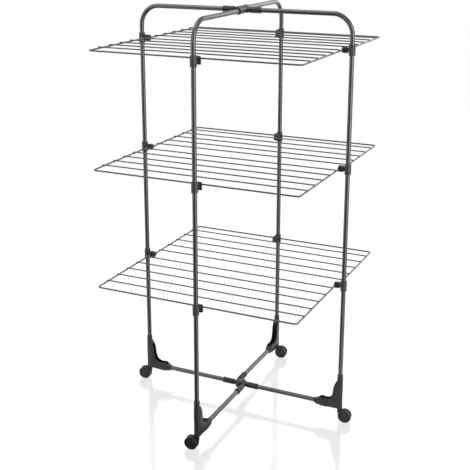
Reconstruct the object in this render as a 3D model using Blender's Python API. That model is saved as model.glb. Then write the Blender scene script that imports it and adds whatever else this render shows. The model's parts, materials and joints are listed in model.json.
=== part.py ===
"""Tower clothes airer: two crossed tube frames on casters with three tiers of folding wire wings.

The origin is on the floor under the pivot. +X runs from the left upright to the right one,
+Y from the front upright to the back one, +Z up. Sizes are in metres.
"""
import math

import bmesh
import bpy
from mathutils import Matrix, Vector

# Frame tubes
TUBE_D = 0.016
TUBE_WALL = 0.0012
HALF_SPAN = 0.395
TOP_BAR_HEIGHT = 1.467
BEND_RADIUS = 0.070
SWING_OFFSET = 0.0165

# Tiers of wings
LOW_TIER_RISE = 0.464
MID_TIER_RISE = 0.422
TOP_TIER_DROP = 0.115
HOOK_REACH = 0.017
OUTER_WIRE_D = 0.0055
RUNG_D = 0.0045
WIRE_CORNER_RADIUS = 0.012
RUNG_COUNT = 5
FIRST_RUNG = 0.044
LAST_RUNG_GAP = 0.062
RUNG_OVERHANG = 0.001
WELD_DEPTH = 0.0007

# Clearances
SEAT_GAP = 0.0003
RUN_GAP = 0.0003
CUT_OVERRUN = 0.004

# Clips on the uprights
SLEEVE_WALL = 0.003
SLEEVE_HEIGHT = 0.036
SLEEVE_EDGE = 0.0008
COLLAR_D = 0.014
COLLAR_REACH = 0.0142
AXLE_STUB_D = 0.008
AXLE_HEAD_D = 0.012
AXLE_HEAD_T = 0.002
DISC_D = 0.023
DISC_T = 0.009
NOSE_LENGTH = 0.005
NOSE_ROOT_W = 0.0105
NOSE_TIP_W = 0.0088
SOCKET_WALL = 0.0019
HOOK_BOSS_D = 0.023
HOOK_BOSS_L = 0.026
HOOK_BOSS_DROP = 0.004
HOOK_SLEEVE_DROP = 0.008
HOOK_BOSS_EDGE = 0.0015
MOUTH_FLARE_OUT = 0.0009
MOUTH_FLARE_IN = 0.0019

# Cross hubs
HUB_BARREL_D = 0.021
HUB_RIM_D = 0.0226
HUB_RIM_L = 0.004
HUB_INNER = 0.028
HUB_OUTER = 0.070
HUB_STOP = 0.002
HUB_PLATE_R = 0.020
HUB_EDGE = 0.0015
HUB_LAP = 0.009
RIVET_D = 0.006
RIVET_HEAD_D = 0.012
RIVET_HEAD_T = 0.0022
RIVET_HEAD_EDGE = 0.0007
RIVET_CROWN_R = 0.004

# Corner brackets
BRACKET_TOP = 0.122
BRACKET_ARM = 0.097
BRACKET_BELOW = 0.012
BRACKET_SLEEVE_WALL = 0.0017
BRACKET_SWELL = 0.0009
BRACKET_EDGE = 0.0012
BELLY_DEPTH = 0.0045
GUSSET_T = 0.019
GUSSET_WALL = 0.002
CHANNEL_FLOOR = 0.0014
POST_END_RISE = 0.018
BAR_END_GAP = 0.014

# Casters
WHEEL_D = 0.048
WHEEL_T = 0.0075
WHEEL_EDGE = 0.0014
WHEEL_HUB_D = 0.016
WHEEL_DISH = 0.0016
WHEEL_RIM_W = 0.0045
WHEEL_HEADROOM = 0.0037
TRAIL = 0.021
FORK_T = 0.009
HOOD_R = 0.0255
HOOD_START = math.radians(75)
HOOD_END = math.radians(200)
FORK_NOSE_R = 0.0105
FORK_NOSE_START = math.radians(270)
FORK_NOSE_END = math.radians(390)
NECK_FRONT = 0.0095
NECK_BACK = 0.0068
NECK_DROP = 0.014
PAD_D = 0.018
PAD_T = 0.0025
AXLE_D = 0.005
STEM_D = 0.009
STEM_TAIL_D = 0.006
STEM_TAIL_L = 0.012
STEM_RISE = 0.022
STEM_TIP = 0.001
TRAIL_DIRECTIONS = {
    "left": math.radians(188),
    "right": math.radians(8),
    "front": math.radians(185),
    "back": math.radians(5),
}

# Facets
TUBE_BEVEL_RESOLUTION = 4
WIRE_BEVEL_RESOLUTION = 1
BEND_STEPS = 5
CORNER_STEPS = 3
ROUND_SIDES = 12
BORE_SIDES = 8
SMALL_SIDES = 6
WHEEL_SIDES = 16
OUTLINE_STEPS = 2
SHARP_ANGLE = math.radians(32)
FLAT_ANGLE = math.radians(0.5)
MERGE_DISTANCE = 0.000003

# A turn that takes a plate in the XZ plane to the YZ plane: X to Z, Y to X, Z to Y
XZ_TO_YZ = Matrix(((0, 1, 0, 0), (0, 0, 1, 0), (1, 0, 0, 0), (0, 0, 0, 1)))

# Sizes that follow from the ones above
TUBE_R = TUBE_D / 2
OUTER_WIRE_R = OUTER_WIRE_D / 2
WING_REACH = HALF_SPAN - HOOK_REACH
SLEEVE_R = TUBE_R + SEAT_GAP + SLEEVE_WALL
BRACKET_SLEEVE_R = TUBE_R + SEAT_GAP + BRACKET_SLEEVE_WALL
NEAR_DISC = COLLAR_REACH + RUN_GAP + DISC_T / 2
FAR_DISC = NEAR_DISC + DISC_T + RUN_GAP
AXLE_HEAD_AT = FAR_DISC + DISC_T / 2 + RUN_GAP
FLOOR_TO_PAD = WHEEL_D + WHEEL_HEADROOM
BAR_HEIGHT = FLOOR_TO_PAD + SEAT_GAP + BRACKET_BELOW
LOW_TIER = BAR_HEIGHT + LOW_TIER_RISE
TIERS = {
    "low": LOW_TIER,
    "mid": LOW_TIER + MID_TIER_RISE,
    "top": TOP_BAR_HEIGHT - TOP_TIER_DROP,
}
WHEEL_R = WHEEL_D / 2

# Shares of the gusset's run along the arm and up the post, from the arm's end to the post
GUSSET_INNER_SHARES = (
    (0.898, -0.01), (0.80, 0.030), (0.694, 0.084), (0.541, 0.070), (0.376, 0.084),
    (0.223, 0.181), (0.159, 0.349), (0.121, 0.563), (0.045, 0.72), (-0.01, 0.80),
)
# Shares of the arm's length and of the belly's depth, from the post to the arm's end
BELLY_SHARES = ((0.0, 0.35), (0.32, 0.50), (0.52, 1.0), (0.68, 0.95), (0.84, 0.05), (0.93, -0.3))
# Shares of the sleeve's height and of its swell, from its foot up
SWELL_SHARES = ((0.0, 1.0), (0.30, 0.35), (0.55, 0.95), (0.80, 0.45), (0.93, 0.0))


def clear_scene():
    for thing in list(bpy.data.objects):
        bpy.data.objects.remove(thing, do_unlink=True)


def material(name, colour, roughness, metallic):
    made = bpy.data.materials.new(name)
    made.use_nodes = True
    shader = made.node_tree.nodes["Principled BSDF"]
    shader.inputs["Base Color"].default_value = (*colour, 1.0)
    shader.inputs["Roughness"].default_value = roughness
    shader.inputs["Metallic"].default_value = metallic
    made.diffuse_color = (*colour, 1.0)
    return made


def new_object(name, data, look=None, parent=None):
    made = bpy.data.objects.new(name, data)
    bpy.context.scene.collection.objects.link(made)
    if look is not None:
        data.materials.clear()
        data.materials.append(look)
    made.parent = parent
    return made


def new_axis(name, place, turn=0, parent=None):
    """An empty on a joint's axis or at a fixed seat, turned about Z."""
    made = new_object(name, None, parent=parent)
    made.location = place
    made.rotation_euler.z = turn
    return made


def finished_mesh(name, bm):
    bmesh.ops.recalc_face_normals(bm, faces=bm.faces)
    mesh = bpy.data.meshes.new(name)
    bm.to_mesh(mesh)
    bm.free()
    mesh.shade_smooth()
    mesh.set_sharp_from_angle(angle=SHARP_ANGLE)
    return mesh


def moved(mesh, matrix):
    """The mesh, turned and shifted in place."""
    mesh.transform(matrix)
    return mesh


def around(axis, sign=1):
    """A turn that takes +Z to the named axis."""
    if axis == "X":
        return Matrix.Rotation(sign * math.pi / 2, 4, "Y")
    if axis == "Y":
        return Matrix.Rotation(-sign * math.pi / 2, 4, "X")
    return Matrix.Identity(4)


def circumradius(radius, sides):
    """The corner radius of a polygon whose flats lie at the given radius."""
    return radius / math.cos(math.pi / sides)


def turned(name, profile, sides):
    """A solid of revolution about Z from (radius, height) points.

    A profile that starts and ends on the axis is closed by its poles; any other is closed
    into a ring.
    """
    bm = bmesh.new()
    points = [bm.verts.new((radius, 0, height)) for radius, height in profile]
    edges = [bm.edges.new(pair) for pair in zip(points, points[1:])]
    if profile[0][0] > 0:
        edges.append(bm.edges.new((points[-1], points[0])))
    bmesh.ops.spin(bm, geom=points + edges, cent=(0, 0, 0), axis=(0, 0, 1),
                   angle=2 * math.pi, steps=sides, use_merge=True, use_duplicate=False)
    bmesh.ops.remove_doubles(bm, verts=bm.verts, dist=MERGE_DISTANCE)
    return finished_mesh(name, bm)


def rod(name, diameter, start, end, sides, edge=0):
    """A plain round bar along Z, with its ends chamfered when an edge is given."""
    radius = diameter / 2
    if edge == 0:
        profile = ((0, start), (radius, start), (radius, end), (0, end))
    else:
        profile = ((0, start), (radius - edge, start), (radius, start + edge),
                   (radius, end - edge), (radius - edge, end), (0, end))
    return turned(name, profile, sides)


def extruded(name, outline, thickness):
    """A plate in the XZ plane, centred on Y."""
    bm = bmesh.new()
    face = bm.faces.new([bm.verts.new((x, -thickness / 2, z)) for x, z in outline])
    side = bmesh.ops.extrude_face_region(bm, geom=[face])
    verts = [item for item in side["geom"] if isinstance(item, bmesh.types.BMVert)]
    bmesh.ops.translate(bm, verts=verts, vec=(0, thickness, 0))
    return finished_mesh(name, bm)


def arc(centre, radius, start, end, steps):
    """Points of an arc in a plane, both ends included."""
    return [(centre[0] + radius * math.cos(start + (end - start) * i / steps),
             centre[1] + radius * math.sin(start + (end - start) * i / steps))
            for i in range(steps + 1)]


def smooth_run(points, steps):
    """A smooth line through the given points, both ends included."""
    padded = [points[0], *points, points[-1]]
    line = []
    for a, b, c, d in zip(padded, padded[1:], padded[2:], padded[3:]):
        for i in range(steps):
            t = i / steps
            line.append(tuple(
                (2 * q + (r - p) * t + (2 * p - 5 * q + 4 * r - s) * t ** 2
                 + (3 * q - p - 3 * r + s) * t ** 3) / 2
                for p, q, r, s in zip(a, b, c, d)))
    line.append(points[-1])
    return line


def combined(name, mesh, steps):
    """The mesh after a row of Boolean steps, each a pair of operation and cutter mesh."""
    body = new_object(name, mesh)
    cutters = []
    for operation, cutter_mesh in steps:
        cutter = new_object(name + "_cutter", cutter_mesh)
        cutter.hide_render = True
        cutter.display_type = "WIRE"
        cutters.append(cutter)
        step = body.modifiers.new(operation.title(), "BOOLEAN")
        step.operation = operation
        step.solver = "EXACT"
        step.object = cutter
    bpy.context.view_layer.update()
    graph = bpy.context.evaluated_depsgraph_get()
    made = bpy.data.meshes.new_from_object(body.evaluated_get(graph))
    for thing in [body, *cutters]:
        bpy.data.objects.remove(thing, do_unlink=True)
    bm = bmesh.new()
    bm.from_mesh(made)
    bmesh.ops.dissolve_limit(bm, angle_limit=FLAT_ANGLE, verts=bm.verts, edges=bm.edges)
    bmesh.ops.triangulate(bm, faces=[face for face in bm.faces if len(face.verts) > 4])
    return finished_mesh(name, bm)


def line_curve(name, points, diameter, bevel_resolution):
    curve = bpy.data.curves.new(name, "CURVE")
    curve.dimensions = "3D"
    curve.bevel_depth = diameter / 2
    curve.bevel_resolution = bevel_resolution
    curve.resolution_u = 1
    curve.render_resolution_u = 0
    curve.use_fill_caps = True
    spline = curve.splines.new("POLY")
    spline.points.add(len(points) - 1)
    for point, place in zip(spline.points, points):
        point.co = (*place, 1)
    return curve


def hollow(tube, wall):
    """Opens the ends of a tube and gives it a wall."""
    tube.data.use_fill_caps = False
    wall_step = tube.modifiers.new("Wall", "SOLIDIFY")
    wall_step.thickness = wall
    wall_step.offset = -1
    wall_step.use_even_offset = True
    return tube


def upright_points():
    """From the hub along the top bar, round the bend and down to the corner bracket."""
    start = HUB_INNER + HUB_STOP
    bend_at = HALF_SPAN - BEND_RADIUS
    bend = arc((bend_at, TOP_BAR_HEIGHT - BEND_RADIUS), BEND_RADIUS, math.pi / 2, 0, BEND_STEPS)
    foot = BAR_HEIGHT + POST_END_RISE
    return [Vector((start, 0, TOP_BAR_HEIGHT)), *[Vector((x, 0, z)) for x, z in bend],
            Vector((HALF_SPAN, 0, foot))]


def bottom_bar_points():
    start = HUB_INNER + HUB_STOP
    return [Vector((start, 0, BAR_HEIGHT)), Vector((HALF_SPAN - BAR_END_GAP, 0, BAR_HEIGHT))]


def tube_bore(name, low, high):
    return rod(name, 2 * circumradius(TUBE_R + SEAT_GAP, ROUND_SIDES), low, high, ROUND_SIDES)


def sleeve_mesh(name, centre):
    low = centre - SLEEVE_HEIGHT / 2
    high = centre + SLEEVE_HEIGHT / 2
    return rod(name, 2 * SLEEVE_R, low, high, ROUND_SIDES, SLEEVE_EDGE)


def hinge_clip_mesh():
    """Sleeve with a collar, an axle stub and its head, along +X from the post."""
    stub = AXLE_STUB_D / 2
    head = AXLE_HEAD_D / 2
    collar = COLLAR_D / 2
    profile = ((0, 0), (collar, 0), (collar, COLLAR_REACH), (stub, COLLAR_REACH),
               (stub, AXLE_HEAD_AT), (head, AXLE_HEAD_AT), (head, AXLE_HEAD_AT + AXLE_HEAD_T / 2),
               (stub, AXLE_HEAD_AT + AXLE_HEAD_T), (0, AXLE_HEAD_AT + AXLE_HEAD_T))
    axle = moved(turned("axle", profile, BORE_SIDES), around("X"))
    reach = SLEEVE_HEIGHT / 2 + CUT_OVERRUN
    return combined("hinge_clip", sleeve_mesh("sleeve", 0),
                    [("UNION", axle), ("DIFFERENCE", tube_bore("bore", -reach, reach))])


def hook_clip_mesh():
    """Sleeve with a cross boss, inward of the post along +X, that snaps over a rung along Y."""
    centre = -HOOK_SLEEVE_DROP
    boss_r = HOOK_BOSS_D / 2
    half = HOOK_BOSS_L / 2
    boss = moved(rod("boss", HOOK_BOSS_D, -half, half, ROUND_SIDES, HOOK_BOSS_EDGE),
                 Matrix.Translation((HOOK_REACH, 0, -HOOK_BOSS_DROP)) @ around("Y"))
    seat_r = circumradius(OUTER_WIRE_R + RUN_GAP, BORE_SIDES)
    low = -(HOOK_BOSS_DROP + boss_r + CUT_OVERRUN)
    rise = low / (HOOK_BOSS_DROP + boss_r)
    mouth = [(HOOK_REACH + seat_r - rise * MOUTH_FLARE_IN, low),
             *arc((HOOK_REACH, 0), seat_r, 0, math.pi, BORE_SIDES // 2),
             (HOOK_REACH - seat_r + rise * MOUTH_FLARE_OUT, low)]
    slot = extruded("slot", mouth, HOOK_BOSS_L + CUT_OVERRUN)
    reach = SLEEVE_HEIGHT / 2 + CUT_OVERRUN
    bore = tube_bore("bore", centre - reach, centre + reach)
    return combined("hook_clip", sleeve_mesh("sleeve", centre),
                    [("UNION", boss), ("DIFFERENCE", bore), ("DIFFERENCE", slot)])


def disc_mesh():
    """A pivot disc on the X axis with a nose along -Y that takes the side wire."""
    radius = DISC_D / 2
    root = NOSE_ROOT_W / 2
    tip = NOSE_TIP_W / 2
    join = math.asin(root / radius)
    round_part = arc((0, 0), radius, -math.pi / 2 + join, 3 * math.pi / 2 - join, ROUND_SIDES)
    nose_end = -(radius + NOSE_LENGTH)
    outline = [*round_part, (-tip, nose_end), (tip, nose_end)]
    flat = moved(extruded("disc", outline, DISC_T), XZ_TO_YZ)
    bore = moved(rod("bore", 2 * circumradius(AXLE_STUB_D / 2 + RUN_GAP, BORE_SIDES),
                     -DISC_T, DISC_T, BORE_SIDES), around("X"))
    socket_r = circumradius(OUTER_WIRE_R + SEAT_GAP, SMALL_SIDES)
    socket_in = AXLE_STUB_D / 2 + RUN_GAP + SOCKET_WALL - SEAT_GAP
    socket = moved(rod("socket", 2 * socket_r, socket_in, radius + NOSE_LENGTH + CUT_OVERRUN,
                       SMALL_SIDES), around("Y", -1))
    return combined("disc", flat, [("DIFFERENCE", bore), ("DIFFERENCE", socket)])


def hub_barrel_mesh(name):
    """One barrel along +X with a rim at its mouth, before its bore is cut."""
    radius = HUB_BARREL_D / 2
    rim = HUB_RIM_D / 2
    profile = ((0, HUB_INNER), (radius, HUB_INNER), (radius, HUB_OUTER - HUB_RIM_L),
               (rim, HUB_OUTER - HUB_RIM_L),
               (rim, HUB_OUTER), (0, HUB_OUTER))
    return moved(turned(name, profile, ROUND_SIDES), around("X"))


def half_block_mesh(name, start, end, top):
    """The lower half of a round bar along +X from start to end, up to the given height."""
    radius = HUB_BARREL_D / 2 - HUB_EDGE
    lift = math.asin(-top / radius)
    outline = arc((0, 0), radius, math.pi + lift, 2 * math.pi - lift, ROUND_SIDES // 2)
    flat = extruded(name, outline, end - start)
    flat.transform(Matrix.Rotation(math.pi / 2, 4, "Z"))
    flat.transform(Matrix.Translation(((start + end) / 2, 0, 0)))
    return flat


def hub_mesh(name, side_offset, lap):
    """Half of a cross hub: a round plate below the bar's centre line and two barrels.

    The barrels run along +X and -X; each is shifted sideways, to its own left, by the offset.
    The lap is how far each barrel's block runs on past the pivot.
    """
    top = -RUN_GAP / 2
    radius = HUB_BARREL_D / 2
    plate = turned(name, ((0, -radius), (HUB_PLATE_R - HUB_EDGE, -radius),
                          (HUB_PLATE_R, -radius + HUB_EDGE), (HUB_PLATE_R, top), (0, top)),
                   ROUND_SIDES + SMALL_SIDES)
    steps = []
    cuts = []
    for turn in (0, math.pi):
        place = Matrix.Rotation(turn, 4, "Z") @ Matrix.Translation((0, side_offset, 0))
        block = half_block_mesh("block", -lap, HUB_INNER + HUB_EDGE, top)
        steps.append(("UNION", moved(block, place)))
        steps.append(("UNION", moved(hub_barrel_mesh("barrel"), place)))
        bore = tube_bore("bore", HUB_INNER + HUB_STOP - SEAT_GAP, HUB_OUTER + CUT_OVERRUN)
        cuts.append(("DIFFERENCE", moved(moved(bore, around("X")), place)))
    pin_bore = rod("pin_bore", 2 * circumradius(RIVET_D / 2 + RUN_GAP, BORE_SIDES),
                   -radius - CUT_OVERRUN, CUT_OVERRUN, BORE_SIDES)
    cuts.append(("DIFFERENCE", pin_bore))
    return combined(name, plate, steps + cuts)


def rivet_mesh():
    shank = RIVET_D / 2
    head = RIVET_HEAD_D / 2
    grip = HUB_BARREL_D / 2 + SEAT_GAP
    end = grip + RIVET_HEAD_T
    half = ((shank, grip), (head, grip), (head, grip + RIVET_HEAD_EDGE), (RIVET_CROWN_R, end),
            (0, end))
    other = [(r, -z) for r, z in reversed(half)]
    return turned("rivet", (*other, *half), BORE_SIDES)


def gusset_inner_edge():
    """The gusset's open edge in side view, from the arm's end to the post."""
    run = BRACKET_ARM - BRACKET_SLEEVE_R
    rise = BRACKET_TOP - BRACKET_SLEEVE_R
    return [(BRACKET_SLEEVE_R + u * run, BRACKET_SLEEVE_R + v * rise)
            for u, v in smooth_run(GUSSET_INNER_SHARES, OUTLINE_STEPS)]


def gusset_outline():
    """The gusset's whole side view: post, belly under the arm, and the open edge."""
    inner = gusset_inner_edge()
    belly = [(u * BRACKET_ARM, -(BRACKET_SLEEVE_R + w * BELLY_DEPTH))
             for u, w in smooth_run(BELLY_SHARES, OUTLINE_STEPS)]
    return [(0, inner[-1][1]), *belly, *inner]


def channel_mesh():
    """The cut between the gusset's side walls, from its open edge down to the sleeves."""
    inner = gusset_inner_edge()[2:-2]
    floor = BRACKET_SLEEVE_R + CHANNEL_FLOOR
    beyond = [(x + CUT_OVERRUN, z + CUT_OVERRUN) for x, z in inner]
    outline = [(floor, inner[-1][1]), (floor, floor), (inner[0][0], floor), inner[0],
               *beyond, inner[-1]]
    return extruded("channel", outline, GUSSET_T - 2 * GUSSET_WALL)


def bracket_mesh():
    """Corner moulding in the XZ plane: post sleeve up Z, arm along +X, open-edged gusset."""
    foot = -BRACKET_BELOW
    height = BRACKET_TOP - foot
    side = [(BRACKET_SLEEVE_R + BRACKET_SWELL * w, foot + BRACKET_EDGE + height * u)
            for u, w in SWELL_SHARES]
    post_profile = ((0, foot), (side[0][0] - BRACKET_EDGE, foot), *side,
                    (BRACKET_SLEEVE_R, BRACKET_TOP - BRACKET_EDGE),
                    (BRACKET_SLEEVE_R - BRACKET_EDGE, BRACKET_TOP), (0, BRACKET_TOP))
    post_sleeve = turned("post_sleeve", post_profile, ROUND_SIDES)
    arm_sleeve = moved(rod("arm_sleeve", 2 * BRACKET_SLEEVE_R, 0, BRACKET_ARM, ROUND_SIDES,
                           BRACKET_EDGE), around("X"))
    gusset = combined("gusset", extruded("gusset", gusset_outline(), GUSSET_T),
                      [("DIFFERENCE", channel_mesh())])
    post_bore = tube_bore("post_bore", POST_END_RISE - SEAT_GAP, BRACKET_TOP + CUT_OVERRUN)
    arm_bore = moved(tube_bore("arm_bore", BAR_END_GAP - SEAT_GAP, BRACKET_ARM + CUT_OVERRUN),
                     around("X"))
    stem_r = circumradius(STEM_D / 2 + RUN_GAP, BORE_SIDES)
    stem_bore = rod("stem_bore", 2 * stem_r, foot - CUT_OVERRUN, foot + STEM_RISE + SEAT_GAP,
                    BORE_SIDES)
    return combined("bracket", post_sleeve,
                    [("UNION", arm_sleeve), ("UNION", gusset), ("DIFFERENCE", post_bore),
                     ("DIFFERENCE", arm_bore), ("DIFFERENCE", stem_bore)])


def caster_housing_mesh():
    """Fork plate between the wheels with a hood and a stem pad; stem on Z, axle out along +X."""
    pad_top = FLOOR_TO_PAD
    axle = (TRAIL, WHEEL_R)
    hood = arc(axle, HOOD_R, HOOD_START, HOOD_END, ROUND_SIDES // 2)
    nose = arc(axle, FORK_NOSE_R, FORK_NOSE_START, FORK_NOSE_END, SMALL_SIDES)
    plate = extruded("housing", [*hood, *nose], FORK_T)
    pad = rod("pad", PAD_D, pad_top - PAD_T, pad_top, ROUND_SIDES)
    neck_top = pad_top - PAD_T / 2
    neck_side = [(-NECK_BACK, neck_top - NECK_DROP), (0, WHEEL_R), (NECK_FRONT, WHEEL_R),
                 (NECK_FRONT, neck_top), (-NECK_BACK, neck_top)]
    neck = extruded("neck", neck_side, FORK_T)
    tail_r = circumradius(STEM_TAIL_D / 2 + SEAT_GAP, BORE_SIDES)
    tail = rod("tail", 2 * tail_r, pad_top - STEM_TAIL_L - SEAT_GAP, pad_top + CUT_OVERRUN,
               BORE_SIDES)
    pin_r = circumradius(AXLE_D / 2 + SEAT_GAP, BORE_SIDES)
    pin = moved(rod("pin", 2 * pin_r, -FORK_T, FORK_T, BORE_SIDES), around("Y"))
    moved(pin, Matrix.Translation((TRAIL, 0, WHEEL_R)))
    return combined("housing", plate, [("UNION", neck), ("UNION", pad), ("DIFFERENCE", tail),
                                       ("DIFFERENCE", pin)])


def wheel_mesh(sign):
    """One wheel on the Y axis, its flats as far out as the wheel's radius."""
    flat = circumradius(WHEEL_R, WHEEL_SIDES)
    hub = WHEEL_HUB_D / 2
    inside = FORK_T / 2 + RUN_GAP
    outside = inside + WHEEL_T
    dish = outside - WHEEL_DISH
    rim = flat - WHEEL_RIM_W
    profile = ((0, inside), (flat, inside), (flat, outside - WHEEL_EDGE),
               (flat - WHEEL_EDGE, outside), (rim, outside), (rim - WHEEL_DISH, dish),
               (hub, outside), (0, outside))
    wheel = turned("wheel", profile, WHEEL_SIDES)
    wheel.transform(Matrix.Rotation(math.pi / WHEEL_SIDES, 4, "Z"))
    return moved(wheel, around("Y", sign))


def wheel_pair_mesh():
    """Twin wheels pressed on the ends of the axle that turns in the housing."""
    end = FORK_T / 2 + WHEEL_T / 2
    axle = moved(rod("axle", AXLE_D, -end, end, BORE_SIDES), around("Y"))
    return combined("wheel_pair", axle, [("UNION", wheel_mesh(1)), ("UNION", wheel_mesh(-1))])


def caster_stem_mesh():
    """Stepped stem pin on the Z axis: its shoulder rests on the housing's pad."""
    stem = STEM_D / 2
    tail = STEM_TAIL_D / 2
    seat = FLOOR_TO_PAD + SEAT_GAP
    high = seat + STEM_RISE
    return turned("stem", ((0, FLOOR_TO_PAD - STEM_TAIL_L), (tail, FLOOR_TO_PAD - STEM_TAIL_L),
                           (tail, seat), (stem, seat), (stem, high - STEM_TIP),
                           (stem - STEM_TIP, high), (0, high)), BORE_SIDES)


def wing_wire_points():
    """The wing's bent wire, from the left disc out, along the outer rung and back."""
    left = -(HALF_SPAN - NEAR_DISC)
    right = HALF_SPAN - FAR_DISC
    start = -(AXLE_STUB_D / 2 + RUN_GAP + SOCKET_WALL)
    radius = WIRE_CORNER_RADIUS
    turn_y = -WING_REACH + radius
    first = arc((left + radius, turn_y), radius, math.pi, 3 * math.pi / 2, CORNER_STEPS)
    second = arc((right - radius, turn_y), radius, 3 * math.pi / 2, 2 * math.pi, CORNER_STEPS)
    return [Vector((left, start, 0)), *[Vector((x, y, 0)) for x, y in first + second],
            Vector((right, start, 0))]


def rack_mesh():
    """The bent wire with the rungs welded on top of its side wires."""
    left = -(HALF_SPAN - NEAR_DISC) - RUNG_OVERHANG
    right = HALF_SPAN - FAR_DISC + RUNG_OVERHANG
    pitch = (WING_REACH - LAST_RUNG_GAP - FIRST_RUNG) / (RUNG_COUNT - 1)
    wire = line_curve("wing_wire", wing_wire_points(), OUTER_WIRE_D, WIRE_BEVEL_RESOLUTION)
    steps = []
    for i in range(RUNG_COUNT):
        bar = moved(rod("rung", RUNG_D, left, right, SMALL_SIDES), around("X"))
        place = (0, -(FIRST_RUNG + i * pitch), OUTER_WIRE_R + RUNG_D / 2 - WELD_DEPTH)
        steps.append(("UNION", moved(bar, Matrix.Translation(place))))
    return combined("rack", combined("wire", wire, []), steps)


def build_frames(looks, roots):
    """Four uprights with half top bars, four half bottom bars and the two cross hubs."""
    upright = line_curve("upright", upright_points(), TUBE_D, TUBE_BEVEL_RESOLUTION)
    bar = line_curve("bottom_bar", bottom_bar_points(), TUBE_D, TUBE_BEVEL_RESOLUTION)
    for side, (root, turn, shift) in roots.items():
        for name, data in (("upright", upright), ("bottom_bar", bar)):
            tube = hollow(new_object(side + "_" + name, data, looks["tube"], root), TUBE_WALL)
            tube.location.x = shift
            tube.rotation_euler.z = turn
    base = hub_mesh("hub_base", 0, 0)
    swivel = hub_mesh("hub_swivel", -SWING_OFFSET, HUB_LAP)
    swivel.transform(Matrix.Rotation(math.pi, 4, "X"))
    rivet = rivet_mesh()
    swing_root, swing_turn = roots["front"][0], roots["front"][1]
    for level, height in (("top", TOP_BAR_HEIGHT), ("bottom", BAR_HEIGHT)):
        still = new_object(level + "_hub_base", base, looks["hub"], roots["left"][0])
        still.location.z = height
        moving = new_object(level + "_hub_swivel", swivel, looks["hub"], swing_root)
        moving.location.z = height
        moving.rotation_euler.z = swing_turn
        pin = new_object(level + "_hub_rivet", rivet, looks["pin"], roots["left"][0])
        pin.location.z = height


def build_clips(looks, roots, posts):
    """Hinge clips on the left and right uprights, hook clips on the front and back ones."""
    meshes = {"hinge": hinge_clip_mesh(), "hook": hook_clip_mesh()}
    kinds = {"left": "hinge", "right": "hinge", "front": "hook", "back": "hook"}
    for side, kind in kinds.items():
        place, turn = posts[side]
        for tier, height in TIERS.items():
            clip = new_object("_".join((side, tier, kind, "clip")), meshes[kind],
                              looks["clip"], roots[side][0])
            clip.location = (place[0], place[1], height)
            clip.rotation_euler.z = turn


def build_brackets(looks, roots, posts):
    mesh = bracket_mesh()
    for side, (place, turn) in posts.items():
        bracket = new_object(side + "_corner_bracket", mesh, looks["bracket"], roots[side][0])
        bracket.location = (place[0], place[1], BAR_HEIGHT)
        bracket.rotation_euler.z = turn


def build_casters(looks, roots, posts):
    housing = caster_housing_mesh()
    stem = caster_stem_mesh()
    wheels = wheel_pair_mesh()
    for side, (place, turn) in posts.items():
        axis = new_axis(side + "_caster_axis", (*place, 0), TRAIL_DIRECTIONS[side], roots[side][0])
        new_object(side + "_caster_housing", housing, looks["housing"], axis)
        new_object(side + "_caster_stem", stem, looks["pin"], axis)
        pair = new_object(side + "_caster_wheels", wheels, looks["wheel"], axis)
        pair.location = (TRAIL, 0, WHEEL_R)


def build_wings(looks):
    """Three wings to the front and three to the back, each on an axis between two posts."""
    rack = rack_mesh()
    disc = disc_mesh()
    for side, turn in (("front", 0), ("back", math.pi)):
        for tier, height in TIERS.items():
            axis = new_axis("_".join((side, tier, "wing_axis")), (0, 0, height), turn)
            name = "_".join((side, tier, "wing_"))
            new_object(name + "rack", rack, looks["wire"], axis)
            near = new_object(name + "near_pivot", disc, looks["clip"], axis)
            near.location.x = -(HALF_SPAN - NEAR_DISC)
            far = new_object(name + "far_pivot", disc, looks["clip"], axis)
            far.location.x = HALF_SPAN - FAR_DISC


def main():
    clear_scene()
    looks = {
        "tube": material("satin_steel_tube", (0.23, 0.23, 0.24), 0.38, 0.85),
        "wire": material("coated_steel_wire", (0.075, 0.075, 0.078), 0.42, 0.4),
        "clip": material("clip_plastic", (0.045, 0.045, 0.048), 0.5, 0.0),
        "hub": material("hub_plastic", (0.04, 0.04, 0.043), 0.45, 0.0),
        "bracket": material("bracket_plastic", (0.04, 0.04, 0.042), 0.48, 0.0),
        "housing": material("caster_housing_plastic", (0.035, 0.035, 0.037), 0.45, 0.0),
        "wheel": material("wheel_plastic", (0.03, 0.03, 0.032), 0.55, 0.0),
        "pin": material("plated_steel_pin", (0.35, 0.35, 0.36), 0.3, 1.0),
    }
    standing = new_axis("standing_frame_root", (0, 0, 0))
    swing = new_axis("swing_frame_axis", (0, 0, 0))
    # For each side: what carries it, the turn of its tubes and their shift along X
    roots = {
        "left": (standing, math.pi, 0),
        "right": (standing, 0, 0),
        "front": (swing, -math.pi / 2, SWING_OFFSET),
        "back": (swing, math.pi / 2, -SWING_OFFSET),
    }
    # For each side: its post's place and the turn that points +X inward
    posts = {
        "left": ((-HALF_SPAN, 0), 0),
        "right": ((HALF_SPAN, 0), math.pi),
        "front": ((SWING_OFFSET, -HALF_SPAN), math.pi / 2),
        "back": ((-SWING_OFFSET, HALF_SPAN), -math.pi / 2),
    }
    build_frames(looks, roots)
    build_clips(looks, roots, posts)
    build_brackets(looks, roots, posts)
    build_casters(looks, roots, posts)
    build_wings(looks)


main()
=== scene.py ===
"""The looks of a tower clothes airer: tube frames, wire wings, moulded fittings and casters.

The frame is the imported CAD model. Each operator below makes one group of like pieces, in metres
and in the frame's own axes, and lets them stand for the CAD nodes of the same name.
"""
import json
import math

import bmesh
import bpy
from mathutils import Matrix, Vector
from mathutils.bvhtree import BVHTree

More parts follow.
